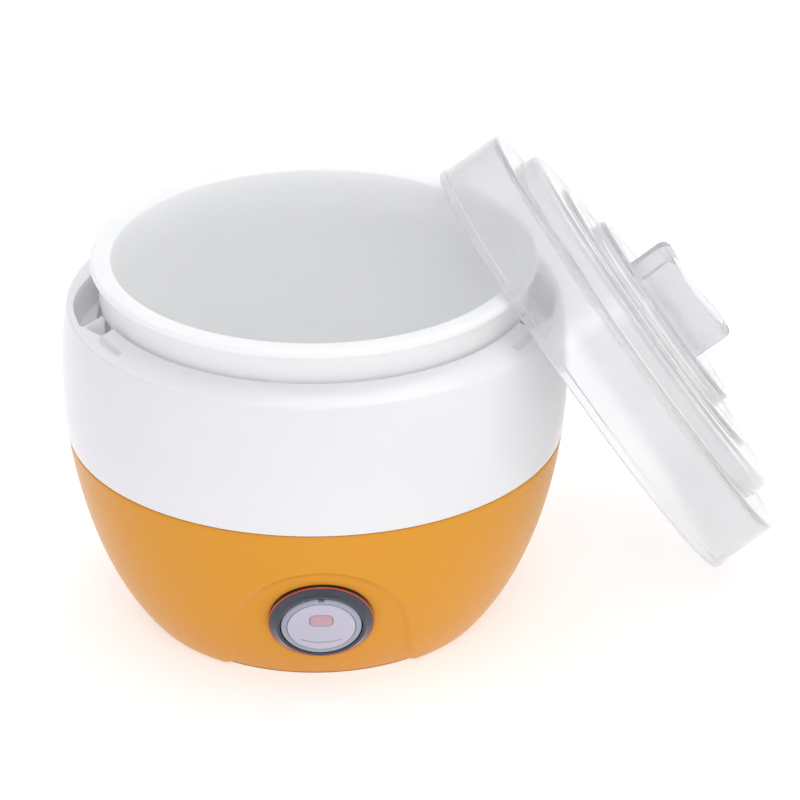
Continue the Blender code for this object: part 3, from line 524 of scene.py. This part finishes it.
def make_lower_shell(material):
    high = PARTING - SEAM
    edge = [(bowl(0.003), 0.003, 0), (bowl(high), high, 0.0004)]
    edge += [(bowl(high) - WALL, high, 0.0003), (bowl(0.006) - WALL, 0.006, 0)]
    outline = fillet(edge, 3)[1:-1]
    outline += list(reversed(bowl_curve(0.0050, high - 0.002, WALL, 30)))
    rim = bowl(SHELL_BOTTOM)
    outline += [(rim - WALL, SHELL_BOTTOM + 0.0003), (rim - WALL + 0.0003, SHELL_BOTTOM)]
    outline += [(rim - 0.0008, SHELL_BOTTOM), (rim - 0.0002, SHELL_BOTTOM + 0.0003)]
    outline += bowl_curve(SHELL_BOTTOM + 0.0010, high - 0.0008, 0, 96)
    angles = dense_angles((270.0,), 40.0, 0.4, 1.8)
    shell = turned("housing_bottom", outline, material, angles, shape_front)
    place = button_frame()
    seat = [(0, -0.0021), (BEZEL_RADIUS + 0.0003, -0.0021), (BEZEL_RADIUS + 0.0003, 0.02), (0, 0.02)]
    combine(shell, turned("seat", seat, material, even_angles(96), None, place), "DIFFERENCE")
    hole = [(0, -0.02), (0.0155, -0.02), (0.0155, 0.02), (0, 0.02)]
    combine(shell, turned("hole", hole, material, even_angles(96), None, place), "DIFFERENCE")
    x = INLET_SIZE[0] / 2
    z = INLET_SIZE[1] / 2
    to_back = Matrix.Translation((0, 0, INLET_HEIGHT)) @ Matrix.Rotation(-math.pi / 2, 4, "X")
    slot = prism("slot", [(-x, -z), (x, -z), (x, z), (-x, z)], 0.05, 0.09, material, to_back)
    combine(shell, slot, "DIFFERENCE")
    return shell


def make_inner_well(material):
    low = 0.1010
    high = 0.1026
    flange = 0.0796
    wall = 0.0015
    bottom = 0.0400
    hole = 0.0260
    corners = [(flange, high, 0.0004), (flange, low, 0.0004)]
    corners += [(0.0711, low, 0), (0.0655, bottom, 0.0112)]
    corners += [(hole, bottom, 0.0003), (hole, bottom + wall, 0.0003)]
    corners += [(0.0640, bottom + wall, 0.0097), (0.0696, low, 0), (0.0696, high, 0.0005)]
    return turned("heating_well", fillet(corners)[::-1], material, even_angles(128))


def make_pot(material):
    """Frosted pot with a rolled lip, a short skirt, a stacking bead and a softly rounded foot."""
    top = 0.1283
    under = 0.1253
    wall = 0.0018
    skirt = 0.1134
    lip = 0.0739
    mouth = 0.0670
    bottom = 0.0427
    foot = 0.0625
    corners = [(0, bottom, 0), (foot, bottom, 0.0120), (mouth + wall - 0.0004, 0.1120, 0.002)]
    corners += [(mouth + wall, under - 0.0007, 0.0003), (0.0698, under - 0.0007, 0.0003)]
    corners += [(0.0697, skirt, 0.0004), (0.0710, skirt, 0.0005), (0.0713, under, 0.0006)]
    corners += [(lip, under, 0.0012), (lip, top, 0.0014)]
    corners += [(mouth, top, 0.0011), (mouth - 0.0004, 0.1120, 0.002), (foot - wall, bottom + wall, 0.0102)]
    corners += [(0, bottom + wall, 0)]
    return turned("frosted_pot", fillet(corners, 6), material)


# ---------------------------------------------------------------- lid

def grip_outline(shrink):
    """Side view of the grip: nearly square ends and a hollow top."""
    top = GRIP_HEIGHT - shrink
    foot = GRIP_BASE - shrink
    tip = GRIP_TIP - shrink
    corners = [(-foot, -0.0035, 0), (foot, -0.0035, 0), (foot, 0.0004, 0), (tip, top, 0.0030)]
    for step in range(1, 16):
        share = step / 16
        corners.append((tip * (1 - 2 * share), top - GRIP_DIP * math.sin(math.pi * share), 0))
    corners += [(-tip, top, 0.0030), (-foot, 0.0004, 0)]
    return fillet(corners, 6)


def lid_outline():
    """Half section of the lid, with a thicker band at the rim and fine ridges on the crown."""
    radius, rise = LID_STEP
    ledge, lift = LID_LEDGE
    crown, crest = LID_CROWN
    wall = LID_WALL
    top = LID_HEIGHT
    high = top + rise
    upper = high + lift
    peak = upper + crest
    corners = [(LID_RADIUS, 0, 0.0006), (LID_RADIUS, 0.0026, 0.0003), (LID_RADIUS - 0.0005, 0.0031, 0.0003)]
    corners += [(LID_RADIUS - 0.0005, top, 0.0013), (radius, top, 0.0008), (radius, high, 0.0030)]
    corners += [(ledge, high, 0.0005), (ledge, upper, 0.0012), (crown + 0.0060, upper, 0)]
    corners += [(crown + 0.0055, upper - 0.0003, 0), (crown + 0.0050, upper, 0), (crown, upper, 0.0008)]
    corners += [(crown, peak, 0.0012)]
    for ridge in (0.0335, 0.0310, 0.0285):
        corners += [(ridge, peak, 0), (ridge - 0.0004, peak - 0.00035, 0), (ridge - 0.0008, peak, 0)]
    corners += [(0, peak, 0), (0, peak - wall, 0), (crown - wall, peak - wall, 0.0010)]
    corners += [(crown - wall, upper - wall, 0.0008), (ledge - wall, upper - wall, 0.0005)]
    corners += [(ledge - wall, high - wall, 0.0005), (radius - wall, high - wall, 0.0018)]
    corners += [(radius - wall, top - wall, 0.0006), (LID_RADIUS - wall, top - wall, 0.0008)]
    corners += [(LID_RADIUS - wall, 0, 0.0005)]
    return fillet(corners, 5)


def make_lid(material):
    place = lid_frame()
    lid = turned("clear_lid", lid_outline(), material, None, None, place)
    peak = LID_HEIGHT + LID_STEP[1] + LID_LEDGE[1] + LID_CROWN[1]
    on_crown = place @ Matrix.Translation((0, 0, peak)) @ Matrix.Rotation(math.pi / 2, 4, "X")
    grip = prism("grip", grip_outline(0.0), -GRIP_WIDTH / 2, GRIP_WIDTH / 2, material, on_crown)
    soften(grip, 0.0011, 4, 60)
    combine(lid, grip, "UNION")
    half = GRIP_WIDTH / 2 - LID_WALL
    core = prism("core", grip_outline(LID_WALL), -half, half, material, on_crown)
    soften(core, 0.0008, 3, 60)
    combine(lid, core, "DIFFERENCE")
    return lid


# ---------------------------------------------------------------- button

def make_bezel(material):
    bore = BUTTON_RADIUS + 0.00035
    sleeve = 0.0151
    rise = BUTTON_FACE - 0.0002
    corners = [(BEZEL_RADIUS, -0.0018, 0.0002), (BEZEL_RADIUS, 0.0004, 0.0004)]
    corners += [(BEZEL_RADIUS - 0.0016, 0.0015, 0.0016)]
    corners += [(bore + 0.0010, rise, 0.0005), (bore, rise - 0.0002, 0.0002), (bore, -0.0070, 0)]
    corners += [(0.0054, -0.0070, 0), (0.0054, -0.0082, 0), (sleeve, -0.0082, 0), (sleeve, -0.0018, 0)]
    return turned("button_ring", fillet(corners)[::-1], material, even_angles(128), None, button_frame())


def make_seal(material):
    """Thin coloured seal that shows as a line round the ring."""
    centre = BEZEL_RADIUS + 0.00012
    outline = [(centre + 0.0002 * math.cos(a), 0.0002 + 0.0002 * math.sin(a)) for a in even_angles(10)]
    return turned("ring_seal", outline, material, even_angles(128), None, button_frame())


def make_cap(material):
    face = BUTTON_FACE
    skirt = BUTTON_RADIUS - 0.0016
    recess = INLAY_RADIUS + 0.0002
    corners = [(0, face - 0.0007, 0), (recess, face - 0.0007, 0), (recess, face, 0.0002)]
    corners += [(BUTTON_RADIUS, face, 0.0008), (BUTTON_RADIUS, -0.0040, 0), (skirt, -0.0040, 0)]
    corners += [(skirt, face - 0.0018, 0), (0.0049, face - 0.0018, 0)]
    corners += [(0.0049, -0.0090, 0), (0.0034, -0.0090, 0)]
    corners += [(0.0034, face - 0.0018, 0), (0, face - 0.0018, 0)]
    cap = turned("button_cap", fillet(corners)[::-1], material, even_angles(128), None, button_frame())
    notch_place = button_frame() @ Matrix.Translation((0, BUTTON_RADIUS, 0))
    outline = [(-0.0010, -0.0008), (0.0010, -0.0008), (0.0010, 0.0009), (-0.0010, 0.0009)]
    combine(cap, prism("notch", outline, 0.0, 0.005, material, notch_place), "DIFFERENCE")
    return cap


def rounded_rectangle(width, height, radius, steps=6):
    x = width / 2
    y = height / 2
    return fillet([(-x, -y, radius), (x, -y, radius), (x, y, radius), (-x, y, radius)], steps)


def make_inlay(material):
    face = BUTTON_FACE
    corners = [(0, face - 0.00045, 0), (INLAY_RADIUS, face - 0.00045, 0)]
    corners += [(INLAY_RADIUS, face + 0.00005, 0.00015)]
    corners += [(0, face + 0.00005, 0)]
    inlay = turned("button_disc", fillet(corners), material, even_angles(128), None, button_frame())
    place = button_frame() @ Matrix.Translation((0, 0.0032, 0))
    outline = rounded_rectangle(0.0078, 0.0056, 0.0021)
    combine(inlay, prism("opening", outline, 0.0, 0.006, material, place), "DIFFERENCE")
    return inlay


def make_window(material):
    face = BUTTON_FACE
    place = button_frame() @ Matrix.Translation((0, 0.0032, 0))
    outline = rounded_rectangle(0.0074, 0.0052, 0.0019)
    window = prism("window_lens", outline, face - 0.00045, face + 0.00012, material, place)
    soften(window, 0.00012, 2, 60)
    return window


def make_spring(material):
    """Compression spring round the stem."""
    turns = 4
    steps = 36 * turns
    wire = 0.00035
    start = -0.0070 + 0.0003 + wire
    end = BUTTON_FACE - 0.0018 - 0.0003 - wire
    sides = even_angles(12)
    points = []
    for step in range(steps + 1):
        share = step / steps
        angle = 2 * math.pi * turns * share
        height = start + (end - start) * (0.35 * float(smoothstep(0.0, 1.0, share)) + 0.65 * share)
        for side in sides:
            reach = SPRING_RADIUS + wire * math.cos(side)
            level = height + wire * math.sin(side)
            points.append((reach * math.cos(angle), reach * math.sin(angle), level))
    count = len(sides)
    faces = [list(range(count)), [steps * count + side for side in range(count)][::-1]]
    for step in range(steps):
        for side in range(count):
            after = (side + 1) % count
            low = step * count
            faces.append([low + side, low + count + side, low + count + after, low + after])
    return new_object("press_spring", points, faces, material, button_frame())


def squash_spring(spring):
    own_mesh(spring)


def make_smile(material):
    """Thin printed arc under the window."""
    half = 0.0068
    sag = 0.0016
    radius = (half * half + sag * sag) / (2 * sag)
    sweep = math.asin(half / radius)
    angles = [-math.pi / 2 + sweep * (step / 12 - 1) for step in range(25)]
    outer = radius + 0.00017
    inner = radius - 0.00017
    outline = [(outer * math.cos(a), outer * math.sin(a)) for a in angles]
    outline += [(inner * math.cos(a), inner * math.sin(a)) for a in reversed(angles)]
    place = button_frame() @ Matrix.Translation((0, radius - 0.0076, 0))
    return prism("button_arc", outline, BUTTON_FACE - 0.0001, BUTTON_FACE + 0.00011, material, place)


# ---------------------------------------------------------------- stage

def area_light(name, place, target, size, power, colour=(1.0, 1.0, 1.0)):
    data = bpy.data.lights.new(name, "AREA")
    data.shape = "RECTANGLE"
    data.size, data.size_y = size
    data.energy = power
    data.color = colour
    lamp = bpy.data.objects.new(name, data)
    bpy.context.scene.collection.objects.link(lamp)
    lamp.location = place
    lamp.rotation_euler = (Vector(target) - Vector(place)).to_track_quat("-Z", "Y").to_euler()


def make_stage():
    made, tree, shader = new_material("floor_paper")
    fibre = noise(tree, 40.0, 4.0)
    vary_colour(tree, shader, fibre, (0.62, 0.62, 0.62), (0.64, 0.64, 0.64))
    add_bump(tree, shader, fibre, 0.02, 0.0002)
    shader.inputs["Roughness"].default_value = 0.9
    shader.inputs["Emission Color"].default_value = (1.0, 1.0, 1.0, 1.0)
    shader.inputs["Emission Strength"].default_value = FLOOR_GLOW
    shader.inputs["Specular IOR Level"].default_value = 0.1
    size = 6.0
    corners = [(-size, -size, 0), (size, -size, 0), (size, size, 0), (-size, size, 0)]
    floor = new_object("floor", corners, [[0, 1, 2, 3]], made)
    make_sky()
    area_light("front_box", (-0.05, -1.2, 1.15), (0, -0.05, 0.10), (0.55, 0.35), 3.0)
    area_light("top_box", (0.25, 0.35, 1.6), (0, 0, 0.10), (0.8, 0.8), 5.0)


def make_sky():
    """A white studio all round, with a darker, bluish side on the left."""
    world = bpy.data.worlds.new("studio")
    bpy.context.scene.world = world
    world.use_nodes = True
    tree = world.node_tree
    background = tree.nodes["Background"]
    background.inputs["Strength"].default_value = SKY_STRENGTH
    place = tree.nodes.new("ShaderNodeTexCoord")
    parts = tree.nodes.new("ShaderNodeSeparateXYZ")
    reach = tree.nodes.new("ShaderNodeMapRange")
    ramp = tree.nodes.new("ShaderNodeValToRGB")
    reach.inputs["From Min"].default_value = -1.0
    link(tree, place, "Generated", parts, "Vector")
    link(tree, parts, "X", reach, "Value")
    link(tree, reach, "Result", ramp, "Fac")
    link(tree, ramp, "Color", background, "Color")
    bands = ramp.color_ramp.elements
    bands[0].color = (*SKY[0][1], 1.0)
    bands[0].position = SKY[0][0]
    bands[1].color = (*SKY[-1][1], 1.0)
    bands[1].position = SKY[-1][0]
    for position, colour in SKY[1:-1]:
        bands.new(position).color = (*colour, 1.0)


def make_camera():
    data = bpy.data.cameras.new("camera")
    data.lens = VIEW_LENS
    data.sensor_width = 36.0
    data.clip_end = 20.0
    camera = bpy.data.objects.new("camera", data)
    bpy.context.scene.collection.objects.link(camera)
    turn = Matrix.Rotation(VIEW_TURN, 4, "Z")
    back = Vector((0, -math.cos(VIEW_ELEVATION), math.sin(VIEW_ELEVATION))) * VIEW_DISTANCE
    camera.location = turn @ (Vector(VIEW_TARGET) + back)
    camera.rotation_euler = (math.pi / 2 - VIEW_ELEVATION, 0, VIEW_TURN)
    bpy.context.scene.camera = camera


# ---------------------------------------------------------------- assembly

def dress(piece, body, slot, *nodes):
    """A made piece rides on a body and stands for CAD nodes. The slot is not used."""
    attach(piece, body)
    if nodes:
        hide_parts(*nodes)


def finish_nodes(materials):
    """Give the CAD nodes that stay their material, by the slot that the record names."""
    by_slot = {
        "white_plastic": "white", "orange_plastic": "orange", "frosted_plastic": "frosted",
        "clear_plastic": "clear", "black_plastic": "black", "grey_plastic": "grey", "pale_plastic": "pale",
        "red_lamp": "lens", "aluminium": "aluminium", "zinc_steel": "steel", "brass": "brass",
        "ceramic": "ceramic", "silicone": "silicone", "rubber": "rubber", "red_wire": "red_wire",
        "blue_wire": "blue_wire",
    }
    for subpart in frame["record"]["subparts"]:
        node = frame["nodes"][subpart["node"]]
        node.data.materials.clear()
        node.data.materials.append(materials[by_slot[subpart["material_slot"]]])


def main():
    bpy.context.scene.view_settings.view_transform = "Standard"
    make_camera()
    make_stage()
    materials = make_materials()
    finish_nodes(materials)
    dress(make_upper_shell(materials["white"]), "base", "white_plastic", "upper_shell")
    dress(make_lower_shell(materials["orange"]), "base", "orange_plastic", "lower_shell")
    dress(make_inner_well(materials["white"]), "base", "white_plastic", "inner_well")
    dress(make_pot(materials["frosted"]), "pot", "frosted_plastic", "inner_pot")
    dress(make_lid(materials["clear"]), "lid", "clear_plastic", "lid")
    dress(make_bezel(materials["black"]), "base", "black_plastic", "button_bezel")
    dress(make_seal(materials["seal"]), "base", "red_lamp")
    dress(make_cap(materials["grey"]), "button", "grey_plastic", "power_button")
    dress(make_inlay(materials["pale"]), "button", "pale_plastic", "button_inlay")
    spring = make_spring(materials["steel"])
    dress(spring, "base", "zinc_steel", "button_spring")
    squash_spring(spring)
    dress(make_smile(materials["print"]), "button", "pale_plastic")
    dress(make_window(materials["window"]), "button", "red_lamp", "indicator_window")


main()
